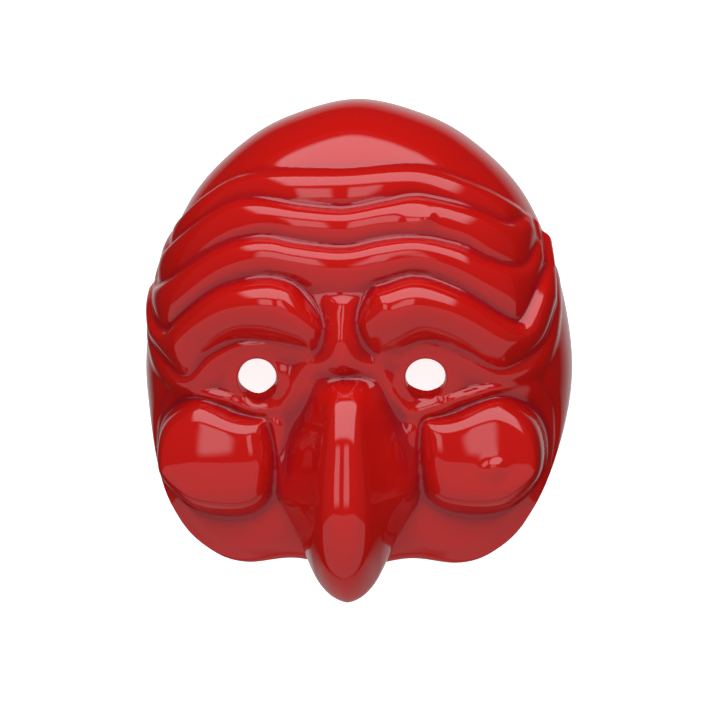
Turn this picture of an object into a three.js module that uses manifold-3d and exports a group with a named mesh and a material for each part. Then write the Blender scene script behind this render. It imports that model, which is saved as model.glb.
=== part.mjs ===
// Theatre half mask: one thin glazed shell, open behind, with a hooked nose, ball cheeks and furrowed brow.
// Millimetres. X runs across the face, Y from the upper lip to the forehead, and Z out of the face.
// The mask lies face up on the flat part of its rim, at Z = 0. Its lower edge stands clear of that plane.
import * as THREE from "three";
import { mergeGeometries, mergeVertices } from "three/addons/utils/BufferGeometryUtils.js";
import Module from "manifold-3d";

// The wall, and the share of the furrows outside that shows on its inside
const WALL = 4.2;
const INSIDE_FOLLOWS = 0.3;
// The hollow behind a cheek, with softer flanks than the cheek itself
const CHEEK_HOLLOW = { depth: 14, flank: 20 };

// Facets: cells across and up the outside. The inside is drawn half as fine.
const COLUMNS = 48;
const ROWS = 72;
const LINE_STEPS = 6;

// Middle of the overall box, seen from the point that the face is drawn round
const MIDDLE = { x: 0, y: 1.37 };

// The rim from the crown of the head to the middle of the upper lip, on the +X side
const RIM = [
  [0, 101.5], [25.7, 95.6], [45.3, 85], [64.8, 65.8], [76.8, 41.5], [84.2, 14], [85.9, -13], [80, -43],
  [69.2, -68], [55.6, -80.2], [42, -84.3], [23, -82.5], [0, -86],
];
// The lower edge rises off the table between these two heights of the face
const LIP_RISE = 30;
const LIP_FROM = -12;
const LIP_TO = -68;

// How far the plain face stands out along its middle line, and how much less at its sides
const CROWN = [
  [-92, 40], [-60, 45], [-27, 50], [-14, 56.2], [4, 58.8], [20, 61], [45, 58], [72, 52.5], [104, 49],
];
const SIDE_DROP = 15;
const DROP_WIDTH = 84;
// The turn from the face to the side wall: a higher power is a tighter corner
const EDGE_POWER = 6;
const TURN_RADIUS = 86;
const TURN_HEIGHT = 48;
const TURN_STEPS = 400;

// Furrows of the forehead, from left to right. The ends lie on the side wall: a direction in degrees
// from +X, and the share of the way from the middle of the face to the rim.
const HAIRLINE = {
  from: [145, 0.97],
  through: [[-72, 50], [-56, 62.5], [-39, 69.2], [-1, 69.6], [27.9, 71], [51, 63.9], [66, 56]],
  to: [38.8, 0.81],
};
const UPPER_FURROW = {
  from: [146, 0.985],
  through: [[-74, 40.6], [-52.3, 55.4], [-38, 58.8], [-18.3, 55.7], [-0.6, 54.4], [14.9, 57.2], [28.3, 59.1],
    [49.5, 54.2], [62, 49.4], [67.5, 52.5]],
  to: [38.2, 0.825],
};
const MIDDLE_FURROW = {
  from: [152, 0.985],
  through: [[-79.3, 29], [-75.5, 26.2], [-50.2, 39.9], [-33.2, 43.6], [-18, 41.1], [-0.3, 39.5], [13.3, 42.2],
    [28, 43.4], [44.1, 39.9], [55.5, 34.2], [68, 32.6], [72.8, 44]],
  to: [37, 0.86],
};
// The lower furrow parts at the bridge of the nose into the tops of the two brows
const BRIDGE = [[-11.8, 23.2], [-0.1, 22.4]];

const LEFT_FACE = {
  browTop: {
    through: [[-22.5, 25.9], [-32.8, 27.5], [-49.8, 23.7], [-66.5, 12.5], [-71.6, 7.9], [-76.5, 9.3],
      [-80.3, 15]],
    to: [160, 0.98],
  },
  browEnd: [[-13.4, -0.9], [-10.1, 4.5], [-10.3, 11.5], [-17.7, 22]],
  browFoot: {
    through: [[-13.4, -0.9], [-19, 1.2], [-37.8, 3.6], [-46, 2.3], [-55.7, -2.8], [-65.5, -10.4], [-80.5, 4]],
    to: [167, 0.96],
  },
  lid: {
    through: [[-14.6, -3.2], [-22.1, -0.9], [-33.1, 0.3], [-47.9, -4.8], [-59.2, -15.4], [-69, -17.3],
      [-79, -8.8], [-82.6, 0]],
    to: [172, 0.95],
  },
  lash: [[-20.9, -14.2], [-27.5, -19.7], [-36.7, -21.3], [-48.8, -17], [-57.1, -15.8]],
  bag: [[-13.4, -0.9], [-17.2, -7.9], [-21.5, -18.1], [-27, -24.3], [-34.9, -26.8], [-51, -21.2],
    [-62, -18.1], [-74.2, -16.6]],
  temple: { through: [[-74.2, -16.6], [-79.5, -28], [-80.3, -40]], to: [213, 0.93] },
  cheek: [[-33, -27], [-43, -25.6], [-60, -19.6], [-73.5, -26.5], [-77.3, -38], [-74.5, -51.5],
    [-61, -62.5], [-42, -64.3], [-31.5, -57.5], [-29.5, -41], [-33, -27]],
  cheekMiddle: { x: -44, y: -42 },
  eye: { x: -35.3, y: -11.6, across: 7.9, up: 8.1 },
};
const RIGHT_FACE = {
  browTop: {
    through: [[15.4, 24.7], [28, 27.8], [44.2, 22.4], [63.2, 11.2], [68.5, 13.6], [76, 34]],
    to: [33.5, 0.9],
  },
  browEnd: [[12.4, -1.7], [7.2, 4.5], [5.7, 12], [10.4, 22.3]],
  browFoot: {
    through: [[12.4, -1.7], [20.9, -0.1], [32, 3.1], [44, -0.9], [54.3, -6.3], [62, -7.2], [75, 2.5],
      [80, 17.8]],
    to: [27, 0.93],
  },
  lid: {
    through: [[13.1, -4.8], [20.9, -2.4], [32, -0.2], [44, -5.2], [56, -12], [67, -13.2], [77, -8],
      [81.3, 3.9]],
    to: [17, 0.94],
  },
  lash: [[17.5, -14.1], [22.5, -18.9], [31, -20.5], [41.8, -17.5], [53.4, -14.2]],
  bag: [[12.4, -1.7], [13.7, -8.7], [17.8, -18.4], [23, -23.8], [32, -27.2], [49.4, -20], [62, -16],
    [75.6, -12.5]],
  temple: { through: [[75.6, -12.5], [80, -22], [80.5, -34]], to: [-29, 0.93] },
  cheek: [[29, -27], [39.7, -25.6], [58, -18.8], [72, -25], [76.6, -38], [73.5, -52], [60, -62.2],
    [43, -63], [31.5, -57.5], [28.3, -42], [29, -27]],
  cheekMiddle: { x: 48.6, y: -42 },
  eye: { x: 30.8, y: -11, across: 7.9, up: 7.5 },
};

// Rolls of skin between two lines: the height, the width at which they are this high, and the share of
// the way down from the upper line at which they stand highest
const FOREHEAD_ROLLS = [
  { height: 3.8, width: 14, crest: 0.26 },
  { height: 4.8, width: 15, crest: 0.3 },
  { height: 5.2, width: 16, crest: 0.32 },
];
const BROW = { height: 11, width: 26, crest: 0.4 };
const LID = { height: 2, width: 5, crest: 0.4 };
const BAG = { height: 2.2, width: 6, crest: 0.4 };
const ROLL_FALL = 2;
const ROLL_WIDEN = 0.6;
const ROLL_LIMIT = 1.2;
// The socket round the eye, and the ball of the eye in it
const SOCKET = { depth: 2.4, slope: 5 };
const EYEBALL = { height: 2.6, across: 13, up: 9.5, power: 2 };
// A cheek rises over its edge to a dome: how high its top stands, its least height over the face, the
// width of its edge, and the radii of its curves across the face and along it
const CHEEK = { top: 54, least: 5, edge: 9, power: 2.2, across: 89, up: 60, blend: 4 };
// The crease from the eye down the temple
const TEMPLE = { depth: 1.6, width: 2.6 };
// Lumps: the ridge between the brows, and the warts on the forehead and on the right cheek
const LUMPS = [
  { x: -1.5, y: 1, across: 6.8, up: 9, height: 6, power: 1.3 },
  { x: -1.5, y: 13.5, across: 5.6, up: 8, height: 2.6, power: 1.3 },
  { x: 28.5, y: 49.8, across: 6.5, up: 4.6, height: 1.6, power: 1.5 },
  { x: 58, y: -46.4, across: 5, up: 5, height: 1.8, power: 1.5 },
];

// The nose outside and its hollow, each in section: from the crease under the brows over the ridge and
// the tip, and back to the lip. The wings end higher up the face than the middle of the nose.
const NOSE = {
  section: [[-9.5, 54.5], [-20, 67.5], [-31, 73.8], [-45, 77], [-68, 78.2], [-87, 71.5], [-98.4, 55],
    [-97, 47], [-91, 43], [-78, 43]],
  top: -9.5,
  foot: -78,
  wingFoot: -62,
  narrower: 0,
  deeper: 0,
};
const NOSE_HOLLOW = {
  section: [[-14, 48.5], [-23, 61.5], [-33, 68.5], [-46, 72], [-66, 73.2], [-82, 67.5], [-91.5, 58],
    [-87, 52], [-77, 48.5], [-72.5, 43.5], [-73, 38.5]],
  top: -14,
  foot: -73,
  wingFoot: -54,
  narrower: 5,
  deeper: WALL,
};
const NOSE_X = 0.4;
// Its half width at shares of the way from top to foot
const NOSE_HALF_WIDTH = [
  [0, 11], [0.05, 12.5], [0.1, 14.5], [0.2, 18.5], [0.35, 23.5], [0.6, 28.5], [0.8, 31], [1, 31],
];
// Its section across: the share of its height that is left at shares of the half width
const NOSE_ACROSS = [
  [0, 1], [0.14, 0.985], [0.28, 0.93], [0.4, 0.81], [0.49, 0.66], [0.6, 0.5], [0.8, 0.24], [0.92, 0.07],
  [1, 0],
];
// How far the tip leans aside
const TIP_LEAN = -1;
// How much of the tip's overhang is left at this distance from the middle line
const OVERHANG = [[0, 1], [6, 0.965], [11, 0.875], [14.5, 0.74], [20, 0.47], [25, 0.31], [30, 0]];
const WING_X = 25;
const WING_POWER = 1.6;
const WING_REACH = 1.1;
// The nose blends into the face over the first and last of its length
const NOSE_BLEND = 0.03;

// Eye holes, cut square to the table
const HOLE_SIDES = 24;
const HOLE_FROM = 38;
const HOLE_DEEP = 26;

// Near the rim the slope is taken a little further in, where the surface goes on both ways
const SLOPE_STEP = 0.4;
const SLOPE_LIMIT = 0.99;
// The carving fades out at the rim, and stands out less from the side wall
const RIM_FADE = 0.97;
const WALL_CARVING = new THREE.Vector3(0.5, 0.5, 1);

const GLAZE = new THREE.MeshStandardMaterial({ color: 0xb0120c, roughness: 0.08, metalness: 0 });

const wasm = await Module();
wasm.setup();

const smoothStep = (from, to, value) => THREE.MathUtils.smoothstep((value - from) / (to - from), 0, 1);
const toPoint = ([x, y]) => new THREE.Vector2(x, y);

function smoothLine(points, steps = LINE_STEPS) {
  return new THREE.SplineCurve(points.map(toPoint)).getPoints((points.length - 1) * steps);
}

// Value at x of a table of points in order of x
function readTable(table, x) {
  let k = 1;
  while (k < table.length - 1 && table[k].x < x) {
    k += 1;
  }
  const share = THREE.MathUtils.clamp((x - table[k - 1].x) / (table[k].x - table[k - 1].x), 0, 1);
  return THREE.MathUtils.lerp(table[k - 1].y, table[k].y, share);
}

// The rim's radius in each direction, with a turn to spare at each end
function makeRimTable() {
  const mirrored = RIM.slice(1, -1).reverse().map(([x, y]) => [-x, y]);
  const ring = [...mirrored, ...RIM].map(([x, y]) => new THREE.Vector3(x, y, 0));
  const curve = new THREE.CatmullRomCurve3(ring, true, "catmullrom");
  const points = curve.getPoints(ring.length * LINE_STEPS).slice(1);
  const table = points.map(({ x, y }) => new THREE.Vector2(Math.atan2(y, x), Math.hypot(x, y)));
  table.sort((a, b) => a.x - b.x);
  const first = table[0];
  const last = table[table.length - 1];
  const turn = 2 * Math.PI;
  return [new THREE.Vector2(last.x - turn, last.y), ...table, new THREE.Vector2(first.x + turn, first.y)];
}

// How far along the surface from the middle, against how far out: both in radii of the rim
function makeTurnTable() {
  const table = [new THREE.Vector2(0, 0)];
  let height = TURN_HEIGHT;
  for (let k = 1; k <= TURN_STEPS; k += 1) {
    const angle = (k / TURN_STEPS) * (Math.PI / 2);
    const out = Math.sin(angle) ** (2 / EDGE_POWER);
    const drop = height - TURN_HEIGHT * Math.cos(angle);
    const before = table[k - 1];
    table.push(new THREE.Vector2(before.x + Math.hypot(out - before.y, drop / TURN_RADIUS), out));
    height -= drop;
  }
  return table;
}

const RIM_TABLE = makeRimTable();
const OUT_OF_ALONG = makeTurnTable();
const ALONG_OF_OUT = OUT_OF_ALONG.map(({ x, y }) => new THREE.Vector2(y, x));
const REACH = OUT_OF_ALONG[TURN_STEPS].x;
const CROWN_TABLE = smoothLine(CROWN);
const NOSE_WIDTH_TABLE = NOSE_HALF_WIDTH.map(toPoint);
const NOSE_ACROSS_TABLE = smoothLine(NOSE_ACROSS);
const OVERHANG_TABLE = smoothLine(OVERHANG);
NOSE.curve = new THREE.SplineCurve(NOSE.section.map(toPoint));
NOSE_HOLLOW.curve = new THREE.SplineCurve(NOSE_HOLLOW.section.map(toPoint));

// Lines are drawn on the surface laid flat: the direction from the middle stays, and the distance is
// measured along the surface. This turns a place seen from the front into a flat one.
function layFlat({ x, y }) {
  const distance = Math.hypot(x, y);
  const radius = readTable(RIM_TABLE, Math.atan2(y, x));
  const along = readTable(ALONG_OF_OUT, Math.min(distance / radius, 1)) * radius;
  return new THREE.Vector2(x, y).multiplyScalar(distance > 0 ? along / distance : 1);
}

function onWall([degrees, share]) {
  const direction = THREE.MathUtils.degToRad(degrees);
  const along = readTable(RIM_TABLE, direction) * REACH * share;
  return new THREE.Vector2(Math.cos(direction), Math.sin(direction)).multiplyScalar(along);
}

function flatLine({ from, through, to }) {
  const line = smoothLine(through).map(layFlat);
  return [...(from ? [onWall(from)] : []), ...line, ...(to ? [onWall(to)] : [])];
}

function distanceToLine(point, line) {
  let nearest = Infinity;
  for (let k = 1; k < line.length; k += 1) {
    const start = line[k - 1];
    const runX = line[k].x - start.x;
    const runY = line[k].y - start.y;
    const dot = (point.x - start.x) * runX + (point.y - start.y) * runY;
    const share = THREE.MathUtils.clamp(dot / Math.max(runX ** 2 + runY ** 2, 1e-9), 0, 1);
    const apart = Math.hypot(point.x - start.x - share * runX, point.y - start.y - share * runY);
    nearest = Math.min(nearest, apart);
  }
  return nearest;
}

function isInside(point, outline) {
  let inside = false;
  for (let k = 0; k < outline.length; k += 1) {
    const a = outline[k];
    const b = outline[(k + 1) % outline.length];
    if (a.y > point.y !== b.y > point.y) {
      const crossing = a.x + ((b.x - a.x) * (point.y - a.y)) / (b.y - a.y);
      inside = point.x < crossing ? !inside : inside;
    }
  }
  return inside;
}

// Each maker below returns a function that gives the height of one feature at a flat place.

// A roll of skin between an upper and a lower line, lower where they close in
function makeRoll(upper, lower, { height, width, crest }) {
  const outline = [...upper, ...[...lower].reverse()];
  return (point) => {
    if (!isInside(point, outline)) {
      return 0;
    }
    const down = distanceToLine(point, upper);
    const across = down + distanceToLine(point, lower);
    const share = down / Math.max(across, 1e-6);
    const before = Math.max(1 - share / crest, 0);
    const after = Math.max((share - crest) / (1 - crest), 0);
    const section = Math.sqrt(1 - before ** 2) * (1 - after ** ROLL_FALL);
    return height * Math.min(across / width, ROLL_LIMIT) ** ROLL_WIDEN * section;
  };
}

function makeLump({ x, y, across, up, height, power }) {
  const middle = layFlat({ x, y });
  return (point) => {
    const away = ((point.x - middle.x) / across) ** 2 + ((point.y - middle.y) / up) ** 2;
    return height * Math.exp(-(away ** power));
  };
}

// The share of its full height that a cheek has reached
function makeCheekEdge({ cheek }) {
  const outline = flatLine({ through: cheek });
  return (point) => {
    const inward = isInside(point, outline) ? Math.min(distanceToLine(point, outline) / CHEEK.edge, 1) : 0;
    return Math.sqrt(1 - (1 - inward) ** CHEEK.power);
  };
}

function makeCheekHollow({ cheek }) {
  const outline = flatLine({ through: cheek });
  return (point) => {
    const inward = isInside(point, outline) ? distanceToLine(point, outline) : 0;
    return CHEEK_HOLLOW.depth * smoothStep(0, CHEEK_HOLLOW.flank, inward);
  };
}

function makeSocket(lid, bag, eye) {
  const outline = [...lid, ...[...bag].reverse()];
  const ball = makeLump({ ...EYEBALL, x: eye.x, y: eye.y });
  return (point) => {
    if (!isInside(point, outline)) {
      return 0;
    }
    const inward = Math.min(distanceToLine(point, lid), distanceToLine(point, bag));
    return ball(point) - SOCKET.depth * smoothStep(0, SOCKET.slope, inward);
  };
}

function makeCrease(line, { depth, width }) {
  return (point) => -depth * Math.exp(-((distanceToLine(point, line) / width) ** 2));
}

function makeSide(face) {
  const browTop = flatLine({ through: [...face.browEnd, ...face.browTop.through], to: face.browTop.to });
  const browFoot = flatLine(face.browFoot);
  const lid = flatLine(face.lid);
  const bag = flatLine({ through: face.bag });
  const lash = flatLine({ through: face.lash });
  const underEye = bag.slice(2 * LINE_STEPS);
  return {
    rolls: [makeRoll(browTop, browFoot, BROW), makeRoll(browFoot, lid, LID), makeRoll(lash, underEye, BAG)],
    socket: makeSocket(lid, bag, face.eye),
    cheekEdge: makeCheekEdge(face),
    cheekMiddle: face.cheekMiddle,
    cheekHollow: makeCheekHollow(face),
    temple: makeCrease(flatLine(face.temple), TEMPLE),
  };
}

const hairline = flatLine(HAIRLINE);
const upperFurrow = flatLine(UPPER_FURROW);
const middleFurrow = flatLine(MIDDLE_FURROW);
const lowerFurrow = flatLine({
  from: LEFT_FACE.browTop.to,
  through: [...[...LEFT_FACE.browTop.through].reverse(), ...BRIDGE, ...RIGHT_FACE.browTop.through],
  to: RIGHT_FACE.browTop.to,
});
const sides = [LEFT_FACE, RIGHT_FACE].map(makeSide);
const lumps = LUMPS.map((lump) => makeLump(lump));
const rolls = [
  makeRoll(hairline, upperFurrow, FOREHEAD_ROLLS[0]),
  makeRoll(upperFurrow, middleFurrow, FOREHEAD_ROLLS[1]),
  makeRoll(middleFurrow, lowerFurrow, FOREHEAD_ROLLS[2]),
  ...sides.flatMap((side) => side.rolls),
];

// Heights of the carving at a flat place: all of it outside, and the part that the inside follows
function carvingAt(point, toRim) {
  const total = (makers) => makers.reduce((sum, height) => sum + height(point), 0);
  const roll = Math.max(...rolls.map((height) => height(point)));
  const socket = total(sides.map((side) => side.socket));
  const cheekHollow = total(sides.map((side) => side.cheekHollow));
  const temple = total(sides.map((side) => side.temple));
  const fade = smoothStep(1, RIM_FADE, toRim);
  return {
    outside: fade * ((roll > 0 ? roll : socket) + temple + total(lumps)),
    inside: fade * (INSIDE_FOLLOWS * roll + cheekHollow),
  };
}

// Raises the balls of the cheeks out of the face at a flat place
function addCheeks({ x, y, z }, flat) {
  const height = sides.reduce((sum, { cheekEdge, cheekMiddle }) => {
    const across = (x - cheekMiddle.x) ** 2 / CHEEK.across;
    const up = (y - cheekMiddle.y) ** 2 / CHEEK.up;
    const dome = CHEEK.top - (across + up) / 2 - z;
    const full = (dome + CHEEK.least + Math.hypot(dome - CHEEK.least, CHEEK.blend)) / 2;
    return sum + cheekEdge(flat) * full;
  }, 0);
  return new THREE.Vector3(x, y, z + height);
}

// Draws a nose out of a face: each place under it slides along the section's curve
function addNose({ x, y, z }, nose) {
  const rise = Math.min(Math.abs(x - NOSE_X) / WING_X, WING_REACH) ** WING_POWER;
  const foot = THREE.MathUtils.lerp(nose.foot, nose.wingFoot, rise);
  const share = THREE.MathUtils.clamp((nose.top - y) / (nose.top - foot), 0, 1);
  const section = nose.curve.getPointAt(share);
  const plainY = THREE.MathUtils.lerp(nose.top, nose.foot, share);
  const plainZ = readTable(CROWN_TABLE, plainY) - nose.deeper;
  const side = Math.abs(x - NOSE_X - TIP_LEAN * smoothStep(0.5, 0.8, share));
  const halfWidth = readTable(NOSE_WIDTH_TABLE, share) - nose.narrower;
  const blend = smoothStep(0, NOSE_BLEND, share) * smoothStep(1, 1 - NOSE_BLEND, share);
  const raise = blend * readTable(NOSE_ACROSS_TABLE, side / halfWidth);
  const overhang = blend * readTable(OVERHANG_TABLE, side * (1 + nose.narrower / WING_X));
  const slide = section.x < plainY ? overhang : raise;
  return new THREE.Vector3(x, y + slide * (section.x - plainY), z + raise * (section.y - plainZ));
}

// Height of the rim in the direction of a flat place
function rimHeightAt({ x, y }) {
  const direction = Math.atan2(y, x);
  return LIP_RISE * smoothStep(LIP_FROM, LIP_TO, readTable(RIM_TABLE, direction) * Math.sin(direction));
}

// The face without its nose or carving, at a flat place
function plainFaceAt(flat) {
  const direction = Math.atan2(flat.y, flat.x);
  const radius = readTable(RIM_TABLE, direction);
  const out = readTable(OUT_OF_ALONG, Math.min(flat.length() / radius, REACH));
  const plain = new THREE.Vector3(Math.cos(direction), Math.sin(direction), 0).multiplyScalar(out * radius);
  const rim = rimHeightAt(flat);
  const crown = readTable(CROWN_TABLE, plain.y) - SIDE_DROP * (plain.x / DROP_WIDTH) ** 2;
  plain.z = rim + (crown - rim) * Math.sqrt(Math.max(1 - out ** EDGE_POWER, 0));
  return plain;
}

function outwardOf(surfaceAt, flat, toRim) {
  const place = flat.clone().multiplyScalar(toRim > SLOPE_LIMIT ? SLOPE_LIMIT : 1);
  const difference = (x, y) => {
    const step = new THREE.Vector2(x, y);
    return surfaceAt(place.clone().add(step)).sub(surfaceAt(place.clone().sub(step)));
  };
  return difference(SLOPE_STEP, 0).cross(difference(0, SLOPE_STEP)).normalize();
}

function outsideAt(flat, toRim) {
  const lift = outwardOf((place) => addNose(plainFaceAt(place), NOSE), flat, toRim).multiply(WALL_CARVING);
  const face = addNose(addCheeks(plainFaceAt(flat), flat), NOSE);
  return face.addScaledVector(lift, carvingAt(flat, toRim).outside);
}

// The inside lies one wall below the plain face, and its own nose is drawn out of it
function insideAt(flat, toRim) {
  const inward = WALL - carvingAt(flat, toRim).inside;
  const outward = outwardOf(plainFaceAt, flat, toRim);
  return addNose(plainFaceAt(flat).addScaledVector(outward, -inward), NOSE_HOLLOW);
}

// Bends a flat grid, whose square goes from -1 to 1 each way, into one surface of the shell
function makeSheet(surfaceAt, columns, rows) {
  const sheet = new THREE.PlaneGeometry(2, 2, columns, rows);
  const { position } = sheet.attributes;
  for (let k = 0; k < position.count; k += 1) {
    const across = position.getX(k);
    const up = position.getY(k);
    const flat = new THREE.Vector2(across * Math.sqrt(1 - up ** 2 / 2), up * Math.sqrt(1 - across ** 2 / 2));
    const onRim = Math.max(Math.abs(across), Math.abs(up)) === 1;
    const toRim = onRim ? 1 : flat.length();
    flat.setLength(toRim * readTable(RIM_TABLE, Math.atan2(flat.y, flat.x)) * REACH);
    const place = surfaceAt(flat, toRim);
    position.setXYZ(k, place.x, place.y, onRim ? rimHeightAt(flat) : place.z);
  }
  return sheet;
}

function turnOver(sheet) {
  const corners = sheet.index.array;
  for (let k = 0; k < corners.length; k += 3) {
    [corners[k], corners[k + 1]] = [corners[k + 1], corners[k]];
  }
  return sheet;
}

// The points round the border of a sheet, clockwise from its top left corner
function borderOf(sheet) {
  const { widthSegments: columns, heightSegments: rows } = sheet.parameters;
  const width = columns + 1;
  const top = Array.from({ length: columns }, (_, k) => k);
  const right = Array.from({ length: rows }, (_, k) => k * width + columns);
  const bottom = top.map((k) => (rows + 1) * width - 1 - k);
  const left = right.map((k) => (rows + 1) * width - 1 - k);
  return [...top, ...right, ...bottom, ...left].map((k) => {
    return new THREE.Vector3().fromBufferAttribute(sheet.attributes.position, k);
  });
}

// The flat edge of the wall: two steps of the outer border for each one of the inner
function makeRimStrip(outer, inner) {
  const corners = inner.flatMap((here, k) => {
    const next = inner[(k + 1) % inner.length];
    const [a, b, c] = [outer[2 * k], outer[2 * k + 1], outer[(2 * k + 2) % outer.length]];
    return [a, b, here, b, c, next, b, next, here];
  });
  return new THREE.BufferGeometry().setFromPoints(corners);
}

function weld(...geometries) {
  const bare = geometries.map((geometry) => {
    const loose = geometry.index ? geometry.toNonIndexed() : geometry;
    loose.deleteAttribute("normal");
    loose.deleteAttribute("uv");
    return loose;
  });
  return mergeVertices(mergeGeometries(bare));
}

function toSolid(geometry) {
  const vertProperties = Float32Array.from(geometry.attributes.position.array);
  const triVerts = Uint32Array.from(geometry.index.array);
  return new wasm.Manifold(new wasm.Mesh({ numProp: 3, vertProperties, triVerts }));
}

function toGeometry(solid) {
  const { vertProperties, triVerts } = solid.getMesh();
  const geometry = new THREE.BufferGeometry();
  geometry.setAttribute("position", new THREE.BufferAttribute(vertProperties, 3));
  geometry.setIndex(new THREE.BufferAttribute(triVerts, 1));
  geometry.computeVertexNormals();
  return geometry;
}

function makeEyeHole({ eye }) {
  const oval = new THREE.Shape().absellipse(eye.x, eye.y, eye.across, eye.up, 0, 2 * Math.PI, false, 0);
  const plug = new THREE.ExtrudeGeometry(oval, {
    depth: HOLE_DEEP,
    curveSegments: HOLE_SIDES,
    bevelEnabled: false,
  });
  return toSolid(weld(plug.translate(0, 0, HOLE_FROM)));
}

function makeShell() {
  const outer = makeSheet(outsideAt, COLUMNS, ROWS);
  const inner = makeSheet(insideAt, COLUMNS / 2, ROWS / 2);
  const strip = makeRimStrip(borderOf(outer), borderOf(inner));
  const blank = toSolid(weld(outer, turnOver(inner), strip));
  return [LEFT_FACE, RIGHT_FACE].reduce((shell, face) => shell.subtract(makeEyeHole(face)), blank);
}

const mask = new THREE.Mesh(toGeometry(makeShell()), GLAZE);
mask.name = "mask_shell";
mask.position.set(-MIDDLE.x, -MIDDLE.y, 0);

const model = new THREE.Group();
model.add(mask);

export default model;
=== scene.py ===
"""Theatre half mask: a glazed clay shell with a hooked nose, ball cheeks and a furrowed brow.

Lengths in the tables below are in millimetres, seen from the front: X across the face, Y from the
upper lip to the forehead, Z out of the face. The mask lies face up on the flat part of its rim.
"""
import math

import bpy
import numpy as np
from mathutils import Matrix, Vector


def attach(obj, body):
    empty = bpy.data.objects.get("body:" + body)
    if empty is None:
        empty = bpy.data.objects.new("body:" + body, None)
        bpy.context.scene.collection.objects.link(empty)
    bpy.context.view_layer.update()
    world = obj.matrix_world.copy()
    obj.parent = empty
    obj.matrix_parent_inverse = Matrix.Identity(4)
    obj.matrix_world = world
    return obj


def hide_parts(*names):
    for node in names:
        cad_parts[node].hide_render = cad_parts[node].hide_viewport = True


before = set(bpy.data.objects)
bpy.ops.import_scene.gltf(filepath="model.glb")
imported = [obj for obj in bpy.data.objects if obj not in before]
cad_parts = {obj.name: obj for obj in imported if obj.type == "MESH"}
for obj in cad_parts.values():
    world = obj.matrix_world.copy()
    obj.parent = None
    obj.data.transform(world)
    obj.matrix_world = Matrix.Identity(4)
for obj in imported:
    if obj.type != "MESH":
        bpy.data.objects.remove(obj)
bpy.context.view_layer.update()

bl_info = {
    "name": "Theatre half mask",
    "version": (1, 0, 0),
    "blender": (4, 5, 0),
    "location": "View3D > Sidebar > Mask",
    "description": "Builds a glazed half mask and the studio that it lies in",
    "category": "Object",
}

MM = 0.001
# Keeps a division by a length from failing where the length is nothing
TINY = 1e-9
CAD_NODE = "mask_shell"

# Middle of the overall box, seen from the point that the face is drawn round
MIDDLE = (0.0, 1.37)

# The rim from the crown of the head to the middle of the upper lip, on the +X side
RIM = [(0, 101.5), (25.7, 95.6), (45.3, 85), (64.8, 65.8), (76.8, 41.5), (84.2, 14), (85.9, -13),
       (80, -43), (69.2, -68), (55.6, -80.2), (42, -84.3), (23, -82.5), (0, -86)]
# The lower edge rises off the table between these two heights of the face
LIP_RISE = 30.0
LIP_FROM = -12.0
LIP_TO = -68.0

# How far the plain face stands out along its middle line, and how much less at its sides
CROWN = [(-92, 40), (-60, 45), (-27, 50), (-14, 56.2), (4, 58.8), (20, 61), (45, 58), (72, 52.5),
         (104, 49)]
SIDE_DROP = 15.0
HALF_WIDTH = 84.0
# The turn from the face to the side wall: a higher power is a tighter corner. Its height and
# radius give the length along the surface, read in this many steps.
EDGE_POWER = 6
TURN_RADIUS = 86.0
TURN_HEIGHT = 48.0
TURN_STEPS = 800
# The face's slope is read this far to each side of a place, and no nearer to the rim than this
# share of the way
SLOPE_STEP = 0.4
SLOPE_LIMIT = 0.985
# The carving fades out at the rim, and stands out less from the side wall
RIM_FADE = 0.97
WALL_CARVING = 0.5

# Furrows of the forehead, from left to right. The ends lie on the side wall: a direction in
# degrees from +X, and the share of the way from the middle of the face to the rim.
HAIRLINE = {
    "from": (145, 0.97),
    "through": [(-72, 50), (-56, 62.5), (-39, 69.2), (-1, 69.6), (27.9, 71), (51, 63.9), (66, 56)],
    "to": (38.8, 0.81),
}
UPPER_FURROW = {
    "from": (146, 0.985),
    "through": [(-74, 40.6), (-52.3, 55.4), (-38, 58.8), (-18.3, 55.7), (-0.6, 54.4), (14.9, 57.2),
                (28.3, 59.1), (49.5, 54.2), (62, 49.4), (67.5, 52.5)],
    "to": (38.2, 0.825),
}
MIDDLE_FURROW = {
    "from": (152, 0.985),
    "through": [(-79.3, 29), (-75.5, 26.2), (-50.2, 39.9), (-33.2, 43.6), (-18, 41.1), (-0.3, 39.5),
                (13.3, 42.2), (28, 43.4), (44.1, 39.9), (55.5, 34.2), (68, 32.6), (72.8, 44)],
    "to": (37, 0.86),
}
# The lower furrow parts at the bridge of the nose into the tops of the two brows
BRIDGE = [(-11.8, 23.2), (-0.1, 22.4)]

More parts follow.
